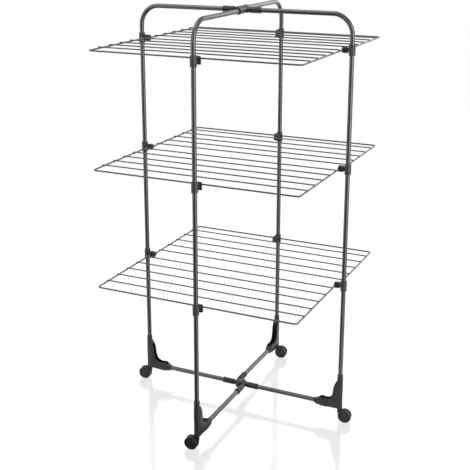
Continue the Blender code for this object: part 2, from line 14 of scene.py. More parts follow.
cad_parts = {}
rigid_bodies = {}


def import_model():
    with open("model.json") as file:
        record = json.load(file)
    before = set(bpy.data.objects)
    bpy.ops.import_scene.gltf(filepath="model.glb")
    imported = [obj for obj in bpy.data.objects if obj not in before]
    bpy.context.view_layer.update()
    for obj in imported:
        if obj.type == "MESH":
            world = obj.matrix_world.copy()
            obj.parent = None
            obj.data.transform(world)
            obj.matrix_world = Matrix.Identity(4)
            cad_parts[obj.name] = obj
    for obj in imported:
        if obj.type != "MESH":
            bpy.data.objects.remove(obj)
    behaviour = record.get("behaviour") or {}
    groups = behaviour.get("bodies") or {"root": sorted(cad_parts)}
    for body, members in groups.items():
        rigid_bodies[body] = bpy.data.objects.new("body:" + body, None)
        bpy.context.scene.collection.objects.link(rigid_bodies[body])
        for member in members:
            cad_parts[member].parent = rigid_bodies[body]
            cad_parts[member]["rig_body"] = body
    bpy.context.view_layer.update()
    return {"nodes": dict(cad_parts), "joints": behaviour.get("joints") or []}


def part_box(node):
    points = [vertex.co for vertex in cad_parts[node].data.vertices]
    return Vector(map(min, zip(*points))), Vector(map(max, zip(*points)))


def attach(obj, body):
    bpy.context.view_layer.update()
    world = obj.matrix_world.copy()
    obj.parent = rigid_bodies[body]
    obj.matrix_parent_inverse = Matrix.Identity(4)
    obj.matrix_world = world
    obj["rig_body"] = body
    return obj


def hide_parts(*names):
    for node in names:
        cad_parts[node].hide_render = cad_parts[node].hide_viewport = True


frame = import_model()

bl_info = {
    "name": "Tower Clothes Airer",
    "version": (1, 0, 0),
    "blender": (4, 5, 0),
    "location": "View3D > Sidebar > Airer",
    "description": "Builds a tower clothes airer with folding wire wings on a packed CAD frame",
    "category": "Add Mesh",
}

FIRST_FRAME = ("left", "right")
SECOND_FRAME = ("front", "back")
SIDES = FIRST_FRAME + SECOND_FRAME
TIERS = ("low", "mid", "top")

# A turn that takes a plate in the XZ plane to the YZ plane: X to Z, Y to X, Z to Y
XZ_TO_YZ = Matrix(((0, 1, 0, 0), (0, 0, 1, 0), (1, 0, 0, 0), (0, 0, 0, 1)))

# Shares of the gusset's run along the arm and up the post, from the arm's end to the post
GUSSET_INNER_SHARES = (
    (0.898, -0.01), (0.80, 0.030), (0.694, 0.084), (0.541, 0.070), (0.376, 0.084),
    (0.223, 0.181), (0.159, 0.349), (0.121, 0.563), (0.045, 0.72), (-0.01, 0.80),
)
# Shares of the arm's length and of the belly's depth, from the post to the arm's end
BELLY_SHARES = ((0.0, 0.35), (0.32, 0.50), (0.52, 1.0), (0.68, 0.95), (0.84, 0.05), (0.93, -0.3))
# Shares of the sleeve's height and of its swell, from its foot up
SWELL_SHARES = ((0.0, 1.0), (0.30, 0.35), (0.55, 0.95), (0.80, 0.45), (0.93, 0.0))


def length(name, description, default):
    return bpy.props.FloatProperty(name=name, description=description, default=default,
                                   min=0, precision=5, unit="LENGTH")


def colour(name, description, default):
    return bpy.props.FloatVectorProperty(name=name, description=description, default=default,
                                         min=0, max=1, size=3, subtype="COLOR")


def level(name, description, default, top=1.0):
    return bpy.props.FloatProperty(name=name, description=description, default=default,
                                   min=0, max=top, subtype="FACTOR")


class AirerSizes(bpy.types.PropertyGroup):
    """Sizes of the airer's pieces."""
    tube: length("Tube", "Diameter of the frame tubes", 0.016)
    bend: length("Bend", "Radius of the bend from an upright to its top bar", 0.070)
    wire: length("Outer Wire", "Diameter of a wing's bent outer wire", 0.0055)
    rung: length("Rung", "Diameter of a wing's rungs", 0.0045)
    wire_corner: length("Wire Corner", "Radius of a wing's corners", 0.012)
    rungs: bpy.props.IntProperty(name="Rungs", description="Straight rungs on each wing",
                                 default=5, min=1, max=12)
    first_rung: length("First Rung", "From the wing's pivot to its first rung", 0.044)
    last_gap: length("Last Gap", "From the last rung to the wing's outer wire", 0.062)
    sleeve: length("Clip Sleeve", "Diameter of the clips' sleeves", 0.0226)
    sleeve_height: length("Clip Height", "Height of the clips' sleeves", 0.036)
    disc: length("Pivot Disc", "Diameter of the wings' pivot discs", 0.023)
    disc_width: length("Disc Width", "Thickness of the wings' pivot discs", 0.009)
    barrel: length("Hub Barrel", "Diameter of the cross hubs' barrels", 0.021)
    bracket_top: length("Bracket Height", "From the bottom bar up to the bracket's top", 0.122)
    bracket_arm: length("Bracket Arm", "From the post to the end of the bracket's arm", 0.097)
    wheel: length("Wheel", "Diameter of the casters' wheels", 0.048)
    wheel_width: length("Wheel Width", "Width of one of the twin wheels", 0.0075)


class AirerFinishes(bpy.types.PropertyGroup):
    """Colours of the airer's finishes."""
    tube: colour("Frame Paint", "Metallic grey paint of the frame tubes", (0.096, 0.096, 0.099))
    wire: colour("Wire Coating", "Coating of the wings' wires", (0.026, 0.026, 0.027))
    clip: colour("Clip Plastic", "Moulded clips", (0.030, 0.030, 0.031))
    disc: colour("Disc Plastic", "Moulded pivot discs", (0.014, 0.014, 0.015))
    hub: colour("Hub Plastic", "Moulded cross hubs", (0.018, 0.018, 0.0185))
    bracket: colour("Bracket Plastic", "Moulded corner brackets", (0.024, 0.024, 0.025))
    caster: colour("Caster Plastic", "Caster housings", (0.018, 0.018, 0.019))
    wheel: colour("Wheel Plastic", "Caster wheels", (0.017, 0.017, 0.018))
    pin: colour("Pin Steel", "Plated rivets and stems", (0.16, 0.16, 0.165))


class AirerStudio(bpy.types.PropertyGroup):
    """Camera, lights and floor."""
    lens: bpy.props.FloatProperty(name="Lens", description="Focal length in millimetres",
                                  default=72.93, min=10, max=300)
    left_light: level("Left Light", "Strength of the tall light at the left", 15.0, 100.0)
    right_light: level("Right Light", "Strength of the tall light at the right", 24.0, 100.0)
    back_light: level("Back Light", "Strength of the wide light behind", 8.0, 100.0)
    top_light: level("Top Light", "Strength of the light overhead", 8.0, 100.0)
    room: level("Room Light", "Light that comes from all round", 0.55, 2.0)
    floor_glow: level("Floor Glow", "How much of the floor's white shows unlit", 0.915, 2.0)
    floor_gloss: level("Floor Gloss", "Share of the floor that mirrors", 0.24)
    dark_side: bpy.props.FloatVectorProperty(
        name="Dark Side", description="Direction in which gloss finds no white floor",
        default=(-0.087, -0.996, 0.0), subtype="DIRECTION")
    dark_share: level("Dark Share", "How dark gloss finds the floor on that side", 1.0)


JOINT_PLACES = {joint["name"]: Vector(joint["pos_m"]) for joint in frame["joints"]}


def half_span():
    """From the pivot to the centre line of an upright."""
    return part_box("right_upright")[1].x - sizes().tube / 2


def top_bar_height():
    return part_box("right_upright")[1].z - sizes().tube / 2


def bottom_bar_height():
    low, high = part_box("right_bottom_bar")
    return (low.z + high.z) / 2


def swing_offset():
    """How far the second frame's halves lie to the sides of the pivot."""
    return JOINT_PLACES["front_swivel"].x


def tier_height(tier):
    return JOINT_PLACES["front_" + tier + "_wing_fold"].z


def place_at(x, y, z, turn=0):
    """A turn about Z, then a move."""
    return Matrix.Translation((x, y, z)) @ Matrix.Rotation(turn, 4, "Z")


def post_matrix(side):
    """Places a fitting drawn on the Z axis, with +X inward, on a post."""
    turns = {"left": 0, "right": math.pi, "front": math.pi / 2, "back": -math.pi / 2}
    place = JOINT_PLACES[side + "_swivel"]
    return place_at(place.x, place.y, 0, turns[side])


def bar_matrix(side):
    """Places a tube drawn in the XZ plane from the pivot outward."""
    turns = {"left": math.pi, "right": 0, "front": -math.pi / 2, "back": math.pi / 2}
    aside = JOINT_PLACES[side + "_swivel"].x if side in SECOND_FRAME else 0
    return place_at(aside, 0, 0, turns[side])


def each_wing():
    """Each wing's name, and the matrix that places a wing drawn from its pivot toward -Y."""
    for side, turn in (("front", 0), ("back", math.pi)):
        for tier in TIERS:
            yield side + "_" + tier + "_wing", place_at(0, 0, tier_height(tier), turn)


def caster_matrix(side):
    """Places a caster drawn with its stem on Z and its wheels out along +X."""
    post, axle = JOINT_PLACES[side + "_swivel"], JOINT_PLACES[side + "_roll"]
    turn = math.atan2(axle.y - post.y, axle.x - post.x)
    return place_at(post.x, post.y, 0, turn)


def caster_trail():
    post, axle = JOINT_PLACES["left_swivel"], JOINT_PLACES["left_roll"]
    return math.hypot(axle.x - post.x, axle.y - post.y)


def sizes():
    return bpy.context.scene.airer_sizes


def finishes():
    return bpy.context.scene.airer_finishes


def studio():
    return bpy.context.scene.airer_studio


def new_node(tree, kind, values, settings):
    """A node with these settings, its inputs set, or linked where the value comes from a node."""
    made = tree.nodes.new(kind)
    for key, value in (settings or {}).items():
        setattr(made, key, value)
    for key, value in (values or {}).items():
        for one in value if isinstance(value, list) else [value]:
            source = getattr(one, "socket", one)
            if isinstance(source, bpy.types.NodeSocket):
                tree.links.new(source, made.inputs[key])
            else:
                made.inputs[key].default_value = one
    return made


class Strand:
    """A node's output that Python arithmetic can be written on."""

    def __init__(self, maker, socket):
        self.maker = maker
        self.socket = socket

    def math(self, operation, *values):
        return self.maker.node("Math", dict(enumerate(values)), {"operation": operation})

    def __add__(self, other):
        return self.math("ADD", self, other)

    __radd__ = __add__

    def __mul__(self, other):
        return self.math("MULTIPLY", self, other)

    __rmul__ = __mul__

    def __sub__(self, other):
        return self.math("SUBTRACT", self, other)

    def __rsub__(self, other):
        return self.math("SUBTRACT", other, self)

    def over(self, other):
        """The greater of the two."""
        return self.math("MAXIMUM", self, other)


class Finish:
    """A material or a world under construction."""

    def __init__(self, owner, end="OutputMaterial"):
        self.owner = owner
        owner.use_nodes = True
        self.tree = owner.node_tree
        self.tree.nodes.clear()
        self.out = self.tree.nodes.new("ShaderNode" + end)

    def node(self, kind, values=None, settings=None, output=0):
        made = new_node(self.tree, "ShaderNode" + kind, values, settings)
        return Strand(self, made.outputs[output])

    def place(self):
        """Object coordinates, in metres in the frame's axes."""
        return self.node("TexCoord", output="Object")

    def noise(self, vector, scale, detail=3.0, roughness=0.5):
        return self.node("TexNoise", {
            "Vector": vector, "Scale": scale, "Detail": detail, "Roughness": roughness})

    def grains(self, vector, scale, output="Distance"):
        return self.node("TexVoronoi", {"Vector": vector, "Scale": scale}, output=output)

    def stretched(self, vector, factors):
        return self.node("Mapping", {"Vector": vector, "Scale": factors})

    def between(self, factor, first, second):
        """A mix of two colours."""
        values = {0: factor}
        for index, tone in ((6, first), (7, second)):
            values[index] = (*tone, 1.0) if isinstance(tone, tuple) else tone
        return self.node("Mix", values, {"data_type": "RGBA"}, 2)

    def ramp(self, factor, low, high):
        return self.node("MapRange", {
            "Value": factor, "From Min": low, "From Max": high, "To Min": 0.0, "To Max": 1.0})

    def bump(self, height, strength, distance, after=None):
        values = {"Height": height, "Strength": strength, "Distance": distance}
        if after is not None:
            values["Normal"] = after
        return self.node("Bump", values)

    def light_path(self, kind):
        return self.node("LightPath", output=kind)

    def recess(self):
        """How much painted shade the surface takes, from the piece's own attribute: high deep in a
        recess, and on the hook clip's boss it also gives the darker moulding.
        """
        return self.node("Attribute", None, {"attribute_name": "recess"}, "Fac")

    def ended(self, shader):
        self.tree.links.new(shader.socket, self.out.inputs["Surface"])
        return self.owner

    def surface(self, values):
        return self.ended(self.node("BsdfPrincipled", values))


def toned(tone, factor):
    return tuple(min(1.0, part * factor) for part in tone)


def finish_material(name, build):
    """The named material, made on its first use."""
    return bpy.data.materials.get(name) or build(Finish(bpy.data.materials.new(name)))


def frame_paint():
    """Metallic grey paint with fine flakes, a little lighter where it is worn."""
    def build(made):
        tone = tuple(finishes().tube)
        place = made.place()
        flakes = made.grains(place, 2600.0, "Color")
        flake = made.node("SeparateColor", {"Color": flakes})
        cloud = made.noise(place, 9.0)
        wear = made.noise(made.stretched(place, (1.0, 1.0, 0.12)), 60.0, detail=4.0)
        peel = made.noise(place, 520.0, detail=2.0)
        base = made.between(made.ramp(flake, 0.25, 0.95), toned(tone, 0.86), toned(tone, 1.2))
        base = made.between(made.ramp(wear, 0.58, 0.78) * 0.25, base, toned(tone, 1.35))
        return made.surface({
            "Base Color": base,
            "Metallic": 1.0,
            "Specular Tint": (0.90, 0.90, 0.91, 1.0),
            "Roughness": 0.23 + (cloud - 0.5) * 0.10 + flake * 0.05,
            "Normal": made.bump(peel, 0.10, 0.0002),
        })
    return finish_material("frame_metallic_paint", build)


def wire_coating():
    """Dark satin coating, rubbed lighter in small patches."""
    def build(made):
        tone = tuple(finishes().wire)
        place = made.place()
        cloud = made.noise(place, 35.0)
        grain = made.noise(place, 1900.0, detail=2.0)
        rubbed = made.ramp(made.noise(place, 140.0, detail=4.0, roughness=0.6), 0.62, 0.80)
        base = made.between(cloud, toned(tone, 0.88), toned(tone, 1.14))
        base = made.between(rubbed * 0.35, base, toned(tone, 1.7))
        return made.surface({
            "Base Color": base,
            "Specular IOR Level": 0.3,
            "Roughness": 0.42 + (grain - 0.5) * 0.14,
            "Normal": made.bump(grain, 0.16, 0.0001),
        })
    return finish_material("coated_wire", build)


# Roughness, scale of the grain, and gloss of each piece's plastic
PLASTICS = {
    "clip": (0.44, 1500.0, 0.5),
    "disc": (0.40, 1500.0, 0.3),
    "hub": (0.36, 1500.0, 0.3),
    "bracket": (0.42, 1300.0, 0.3),
    "caster": (0.40, 1700.0, 0.3),
    "wheel": (0.40, 900.0, 0.4),
}


def moulded_plastic(kind):
    """Dark moulded plastic with a fine spark-eroded grain, with shade painted near-black into its
    recesses.
    """
    roughness, grain_scale, gloss = PLASTICS[kind]

    def build(made):
        tone = tuple(getattr(finishes(), kind))
        place = made.place()
        cloud = made.noise(place, 26.0)
        grain = made.noise(place, grain_scale, roughness=0.6)
        pits = made.ramp(made.grains(place, grain_scale * 0.7), 0.05, 0.5)
        drawn = made.stretched(place, (1.0, 1.0, 0.25))
        scuffs = made.ramp(made.noise(drawn, 180.0, detail=5.0, roughness=0.65), 0.64, 0.82)
        base = made.between(cloud, toned(tone, 0.90), toned(tone, 1.12))
        base = made.between(scuffs * 0.30, base, toned(tone, 1.8))
        # Painted shade: the colour goes towards near-black as the piece's attribute rises in its
        # recesses; on the hook clip's boss the same attribute gives its darker moulding.
        base = made.between(made.recess(), base, toned(tone, 0.12))
        dulled = scuffs * 0.08 + made.recess() * 0.3
        return made.surface({
            "Base Color": base,
            "Specular IOR Level": gloss,
            "Roughness": roughness + (grain - 0.5) * 0.16 + dulled,
            "Normal": made.bump(grain, 0.16, 0.00010, made.bump(pits, 0.14, 0.00012)),
        })
    return finish_material(kind + "_moulded_plastic", build)


def pin_steel():
    """Plated steel with fine turning lines."""
    def build(made):
        tone = tuple(finishes().pin)
        place = made.place()
        lines = made.noise(made.stretched(place, (1.0, 1.0, 14.0)), 700.0)
        cloud = made.noise(place, 240.0)
        return made.surface({
            "Base Color": made.between(cloud, toned(tone, 0.82), toned(tone, 1.15)),
            "Metallic": 1.0,
            "Roughness": 0.28 + (lines - 0.5) * 0.2,
            "Normal": made.bump(lines, 0.08, 0.00005),
        })
    return finish_material("plated_steel_pin", build)


def linked(name, data):
    """A new object in the scene."""
    thing = bpy.data.objects.new(name, data)
    bpy.context.scene.collection.objects.link(thing)
    return thing


def smooth_mesh(name, bm):
    """A mesh with its doubles merged, faces outward and edges over 36 degrees kept sharp."""
    bmesh.ops.remove_doubles(bm, verts=bm.verts, dist=0.000002)
    bmesh.ops.recalc_face_normals(bm, faces=bm.faces)
    mesh = bpy.data.meshes.new(name)
    bm.to_mesh(mesh)
    bm.free()
    mesh.shade_smooth()
    mesh.set_sharp_from_angle(angle=math.radians(36))
    return mesh


def moved(mesh, matrix):
    mesh.transform(matrix)
    return mesh


def copy_at(mesh, matrix):
    return moved(mesh.copy(), matrix)


def around(axis, sign=1):
    """A turn that takes +Z to the named axis."""
    if axis == "X":
        return Matrix.Rotation(sign * math.pi / 2, 4, "Y")
    return Matrix.Rotation(-sign * math.pi / 2, 4, "X")


def arc(centre, radius, start, end, steps):
    return [(centre[0] + radius * math.cos(start + (end - start) * i / steps),
             centre[1] + radius * math.sin(start + (end - start) * i / steps))
            for i in range(steps + 1)]


def smooth_run(points, steps):
    """A smooth line through the given points, both ends included."""
    padded = [points[0], *points, points[-1]]
    line = []
    for a, b, c, d in zip(padded, padded[1:], padded[2:], padded[3:]):
        for i in range(steps):
            t = i / steps
            line.append(tuple(
                (2 * q + (r - p) * t + (2 * p - 5 * q + 4 * r - s) * t ** 2
                 + (3 * q - p - 3 * r + s) * t ** 3) / 2
                for p, q, r, s in zip(a, b, c, d)))
    line.append(points[-1])
    return line


def eased(points, radius, steps=3, closed=False, least=math.radians(20)):
    """The line with each corner sharper than the least angle rounded off."""
    made = []
    for i, point in enumerate(points):
        corner = Vector(point)
        before = Vector(points[i - 1]) - corner
        after = Vector(points[(i + 1) % len(points)]) - corner
        turn = math.pi - before.angle(after, math.pi)
        if turn < least or not closed and i in (0, len(points) - 1):
            made.append(tuple(corner))
            continue
        reach = min(radius * math.tan(turn / 2), before.length * 0.45, after.length * 0.45)
        first = corner + before.normalized() * reach
        last = corner + after.normalized() * reach
        for j in range(steps + 1):
            t = j / steps
            made.append(tuple(first * (1 - t) ** 2 + corner * 2 * t * (1 - t) + last * t ** 2))
    return made


def turned(name, profile, sides=48):
    """A solid of revolution about Z from (radius, height) points that start and end on it."""
    bm = bmesh.new()
    points = [bm.verts.new((radius, 0, height)) for radius, height in profile]
    edges = [bm.edges.new(pair) for pair in zip(points, points[1:])]
    bmesh.ops.spin(bm, geom=points + edges, cent=(0, 0, 0), axis=(0, 0, 1),
                   angle=2 * math.pi, steps=sides, use_merge=True, use_duplicate=False)
    return smooth_mesh(name, bm)


def bar(name, radius, start, end, edge=0.0, sides=48):
    """A round bar along Z, its ends rounded by the edge."""
    profile = [(0, start), (radius, start), (radius, end), (0, end)]
    return turned(name, eased(profile, edge, 4) if edge else profile, sides)


def plate(name, outline, thickness, edge=0.0, steps=2):
    """A plate in the XZ plane, centred on Y, its rims rounded by the edge."""
    bm = bmesh.new()
    face = bm.faces.new([bm.verts.new((x, -thickness / 2, z)) for x, z in outline])
    side = bmesh.ops.extrude_face_region(bm, geom=[face])
    verts = [item for item in side["geom"] if isinstance(item, bmesh.types.BMVert)]
    bmesh.ops.translate(bm, verts=verts, vec=(0, thickness, 0))
    if edge:
        rims = [e for e in bm.edges if abs(e.verts[0].co.y - e.verts[1].co.y) < thickness / 2]
        bmesh.ops.bevel(bm, geom=rims, offset=edge, segments=steps, profile=0.5,
                        affect="EDGES", clamp_overlap=False)
    return smooth_mesh(name, bm)


def cut_and_joined(name, mesh, joins=(), cuts=()):
    """The mesh with the joins added to it and then the cuts taken away from it."""
    body = linked(name, mesh)
    others = []
    for operation, meshes in (("UNION", joins), ("DIFFERENCE", cuts)):
        for other_mesh in meshes:
            other = linked(name + "_other", other_mesh)
            others.append(other)
            step = body.modifiers.new(operation.title(), "BOOLEAN")
            step.operation = operation
            step.solver = "EXACT"
            step.object = other
    made = evaluated_mesh(body, name)
    for thing in [body, *others]:
        bpy.data.objects.remove(thing, do_unlink=True)
    bm = bmesh.new()
    bm.from_mesh(made)
    bmesh.ops.dissolve_degenerate(bm, dist=0.000004, edges=bm.edges)
    bmesh.ops.triangulate(bm, faces=[face for face in bm.faces if len(face.verts) > 4])
    return smooth_mesh(name, bm)


def evaluated_mesh(thing, name):
    """A plain mesh of the object as its modifiers leave it."""
    bpy.context.view_layer.update()
    graph = bpy.context.evaluated_depsgraph_get()
    made = bpy.data.meshes.new_from_object(thing.evaluated_get(graph))
    made.name = name
    return made


def fan_of_rays(count):
    """Directions spread evenly over a sphere's upper half."""
    rays = []
    for i in range(count):
        height = (i + 0.5) / count
        flat = math.sqrt(1 - height * height)
        turn = i * math.pi * (3 - math.sqrt(5))
        rays.append(Vector((flat * math.cos(turn), flat * math.sin(turn), height)))
    return rays


def with_painted_recess_shade(mesh, reach=0.030):
    """Notes at each point how much of the open space over it the mesh hides, which the plastics
    paint in as shade.

    Up to the open share of rays that hit within reach there is no painted shade, and from the deep
    share on it is full.
    """
    open_share, deep_share, lift = 0.12, 0.62, 0.0004
    tree = BVHTree.FromPolygons([v.co for v in mesh.vertices],
                                [tuple(p.vertices) for p in mesh.polygons])
    fan = fan_of_rays(24)
    recess_shade = []
    for vertex in mesh.vertices:
        facing = vertex.normal.to_track_quat("Z", "Y")
        start = vertex.co + vertex.normal * lift
        hits = sum(tree.ray_cast(start, facing @ ray, reach)[0] is not None for ray in fan)
        depth = max(0.0, hits / len(fan) - open_share) / (deep_share - open_share)
        recess_shade.append(min(1.0, depth))
    mesh.attributes.new("recess", "FLOAT", "POINT").data.foreach_set("value", recess_shade)
    return mesh


def dress(node, mesh, finish, suffix="moulding"):
    """Shows the mesh, which is already in place, instead of the CAD node."""
    mesh.materials.clear()
    mesh.materials.append(finish)
    piece = linked(node + "_" + suffix, mesh)
    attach(piece, frame["nodes"][node]["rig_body"])
    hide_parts(node)


class Growth:
    """A geometry node tree under construction, its inputs listed by kind."""

    def __init__(self, name, inputs):
        self.tree = bpy.data.node_groups.new(name, "GeometryNodeTree")
        self.add_socket("Geometry", "OUTPUT", "Geometry")
        self.add_socket("Geometry", "INPUT", "Geometry")
        for kind, labels in inputs.items():
            for label in labels:
                self.add_socket(label, "INPUT", kind)
        self.given = self.tree.nodes.new("NodeGroupInput").outputs
        self.out = self.tree.nodes.new("NodeGroupOutput").inputs[0]

    def add_socket(self, label, way, kind):
        self.tree.interface.new_socket(name=label, in_out=way, socket_type="NodeSocket" + kind)

    def node(self, kind, values, settings=None, output=0):
        return new_node(self.tree, "GeometryNode" + kind, values, settings).outputs[output]

    def bent(self, line, steps, radius):
        """A curve along a bare line, its corners filleted."""
        curve = self.node("MeshToCurve", {"Mesh": line})
        return self.node("FilletCurve", {"Curve": curve, "Count": steps, "Radius": radius},
                         {"mode": "POLY"})

    def swept(self, curve, radius):
        """A round bar along the curve, with flat ends."""
        ring = self.node("CurvePrimitiveCircle", {
            "Resolution": self.given["Sides"], "Radius": radius})
        return self.node("CurveToMesh", {
            "Curve": curve, "Profile Curve": ring, "Fill Caps": True})

    def ended(self, geometry):
        """The whole tree, ended with smooth faces, real geometry and the finish."""
        shaded = self.node("SetShadeSmooth", {"Geometry": geometry})
        real = self.node("RealizeInstances", {"Geometry": shaded})
        coat = self.node("SetMaterial", {"Geometry": real, "Material": self.given["Finish"]})
        self.tree.links.new(coat, self.out)
        return self.tree


def growth_tree(name, inputs, build):
    """The named tree, made on its first use."""
    return bpy.data.node_groups.get(name) or build(Growth(name, inputs))


def grown(name, base, tree, values):
    """The mesh that the tree grows from the base with these inputs."""
    thing = linked(name, base)
    step = thing.modifiers.new(tree.name, "NODES")
    step.node_group = tree
    for item in tree.interface.items_tree:
        if item.in_out == "INPUT" and item.name in values:
            step[item.identifier] = values[item.name]
    made = evaluated_mesh(thing, name)
    thing.modifiers.remove(step)
    bpy.data.objects.remove(thing, do_unlink=True)
    return made


def tube_tree():
    """A round tube with filleted bends along a bare line."""
    def build(made):
        given = made.given
        bent = made.bent(given["Geometry"], given["Bend Steps"], given["Bend Radius"])
        return made.ended(made.swept(bent, given["Tube Radius"]))
    return growth_tree("bent_frame_tube", {
        "Float": ("Tube Radius", "Bend Radius"), "Int": ("Bend Steps", "Sides"),
        "Material": ("Finish",)}, build)


def wing_tree():
    """A bent wire with rungs laid across it and a weld where they meet.

    The base mesh holds the wire's bare line and one bare rung, which has the rung attribute.
    """
    def build(made):
        node, given = made.node, made.given
        marked = node("InputNamedAttribute", {"Name": "rung"}, {"data_type": "BOOLEAN"})
        thick = node("InputNamedAttribute", {"Name": "thickness"}, {"data_type": "FLOAT"})
        rung_line = node("SeparateGeometry", {
            "Geometry": given["Geometry"], "Selection": marked}, {"domain": "POINT"})
        wire_line = rung_line.node.outputs["Inverted"]
        bent = made.bent(wire_line, given["Corner Steps"], given["Corner Radius"])
        wire = made.swept(bent, given["Wire Radius"])
        drawn = node("SetCurveRadius", {
            "Curve": node("MeshToCurve", {"Mesh": rung_line}), "Radius": thick})
        rung = made.swept(drawn, given["Rung Radius"])
        row = node("MeshLine", {"Count": given["Rungs"], "Offset": given["Rung Step"]},
                   {"mode": "OFFSET"})
        rungs = node("InstanceOnPoints", {"Points": row, "Instance": rung})
        bead = node("MeshIcoSphere", {"Radius": given["Rung Radius"], "Subdivisions": 3})
        welds = []
        for label in ("Left Weld", "Right Weld"):
            spots = node("SetPosition", {"Geometry": row, "Offset": given[label]})
            welds.append(node("InstanceOnPoints", {
                "Points": spots, "Instance": bead, "Scale": given["Weld Shape"]}))
        return made.ended(node("JoinGeometry", {"Geometry": [wire, rungs, *welds]}))
    return growth_tree("welded_wing_rack", {
        "Float": ("Wire Radius", "Rung Radius", "Corner Radius"),
        "Int": ("Corner Steps", "Sides", "Rungs"),
        "Vector": ("Rung Step", "Left Weld", "Right Weld", "Weld Shape"),
        "Material": ("Finish",)}, build)


def bare_line(name, points):
    mesh = bpy.data.meshes.new(name)
    mesh.from_pydata(points, [(i, i + 1) for i in range(len(points) - 1)], [])
    return mesh


# Sizes that the fittings share and that the frame's own boxes don't give
RUN_GAP = 0.0003
SEAT_GAP = 0.0003
CUT_OVERRUN = 0.004
FINE_SIDES = 64
SLEEVE_EDGE = 0.0012
HUB_INNER = 0.028
HUB_OUTER = 0.070
TUBE_STOP = 0.002
POST_STOP = 0.018
ARM_STOP = 0.014
COLLAR_REACH = 0.0142
STUB_R = 0.004
HOOK_REACH = 0.017
SOCKET_WALL = 0.0019
NOSE = 0.005
RIVET_R = 0.003
STEM_R = 0.0045
TAIL_R = 0.003
PAD_RISE = 0.0037


def near_disc():
    return COLLAR_REACH + RUN_GAP + sizes().disc_width / 2


def far_disc():
    return near_disc() + sizes().disc_width + RUN_GAP


def wing_reach():
    return half_span() - HOOK_REACH


class AIRER_OT_tubes(bpy.types.Operator):
    """Build the painted frame tubes: four bent uprights and four bottom bars"""
    bl_idname = "airer.tubes"
    bl_label = "Frame Tubes"

    def execute(self, context):
        start = HUB_INNER + TUBE_STOP
        out, top, low = half_span(), top_bar_height(), bottom_bar_height()
        upright = ((start, 0, top), (out, 0, top), (out, 0, low + POST_STOP))
        cross = ((start, 0, low), (out - ARM_STOP, 0, low))
        finish = frame_paint()
        values = {"Tube Radius": sizes().tube / 2, "Bend Radius": sizes().bend, "Bend Steps": 24,
                  "Sides": 40, "Finish": finish}
        for side in SIDES:
            for kind, points in (("upright", upright), ("bottom_bar", cross)):
                mesh = grown(kind, bare_line(kind, points), tube_tree(), values)
                dress(side + "_" + kind, moved(mesh, bar_matrix(side)), finish, "tube")
        return {"FINISHED"}


def rack_lines(wire, rung, thickness):
    """The bare lines that a rack grows from, with the thickness at each point of the rung."""
    points = wire + rung
    base = bpy.data.meshes.new("rack_lines")
    base.from_pydata(points, [(i, i + 1) for i in range(len(points) - 1) if i + 1 != len(wire)], [])
    base.attributes.new("rung", "BOOLEAN", "POINT").data.foreach_set(
        "value", [i >= len(wire) for i in range(len(points))])
    base.attributes.new("thickness", "FLOAT", "POINT").data.foreach_set(
        "value", [1.0] * len(wire) + thickness)
    return base


class AIRER_OT_wings(bpy.types.Operator):
    """Build the six wire racks: a bent outer wire, rungs and their welds"""
    bl_idname = "airer.wings"
    bl_label = "Wire Wings"

    def execute(self, context):
        weld_depth, overhang = 0.0007, 0.001
        left = -(half_span() - near_disc())
        right = half_span() - far_disc()
        root = -(STUB_R + RUN_GAP + SOCKET_WALL)
        rise = (sizes().wire + sizes().rung) / 2 - weld_depth
        gap = (wing_reach() - sizes().last_gap - sizes().first_rung) / (sizes().rungs - 1)
        first = -sizes().first_rung
        wire = [(left, root, 0), (left, -wing_reach(), 0), (right, -wing_reach(), 0),
                (right, root, 0)]
        # A rung's rounded end: distances in from its tip, and its thickness there as a share
        end = ((0.0, 0.55), (0.0003, 0.86), (0.0008, 1.0))
        rung = [(left - overhang + along, first, rise) for along, _ in end]
        rung += [(right + overhang - along, first, rise) for along, _ in reversed(end)]
        thickness = [share for _, share in end]
        base = rack_lines(wire, rung, thickness + thickness[::-1])
        finish = wire_coating()
        values = {
            "Wire Radius": sizes().wire / 2, "Rung Radius": sizes().rung / 2,
            "Corner Radius": sizes().wire_corner, "Corner Steps": 12,
            "Sides": 16, "Rungs": sizes().rungs, "Rung Step": (0, -gap, 0),
            "Left Weld": (left, first, rise * 0.62), "Right Weld": (right, first, rise * 0.62),
            "Weld Shape": (1.25, 1.2, 0.95), "Finish": finish}
        for name, place in each_wing():
            mesh = moved(grown("wing_rack", base, wing_tree(), values), place)
            dress(name + "_rack", mesh, finish, "wires")
        return {"FINISHED"}


def clip_sleeve(centre):
    half = sizes().sleeve_height / 2
    return bar("sleeve", sizes().sleeve / 2, centre - half, centre + half, SLEEVE_EDGE, FINE_SIDES)


def clip_bore(centre):
    half = sizes().sleeve_height / 2 + CUT_OVERRUN
    return bar("bore", sizes().tube / 2 + SEAT_GAP, centre - half, centre + half, sides=FINE_SIDES)


def dress_clips(clip, sides, kind):
    """Shows a copy of the clip at every tier of these uprights."""
    for side in sides:
        for tier in TIERS:
            place = place_at(0, 0, tier_height(tier)) @ post_matrix(side)
            dress("_".join((side, tier, kind)), copy_at(clip, place), moulded_plastic("clip"))


def hinge_clip():
    """A sleeve with an axle stub along +X, which has a collar and a dimpled head."""
    collar_r, head_r, crown_r, dimple_r, floor_r = 0.007, 0.006, 0.0045, 0.002, 0.0016
    head = far_disc() + sizes().disc_width / 2 + RUN_GAP
    crown, floor = head + 0.002, head + 0.0012
    profile = [(0, 0), (collar_r, 0), (collar_r, COLLAR_REACH), (STUB_R, COLLAR_REACH),
               (STUB_R, head), (head_r, head), (head_r, head + 0.001), (crown_r, crown),
               (dimple_r, crown), (floor_r, floor), (0, floor)]
    axle = moved(turned("axle", eased(profile, 0.0005)), around("X"))
    return with_painted_recess_shade(cut_and_joined("hinge_clip", clip_sleeve(0), [axle], [clip_bore(0)]))


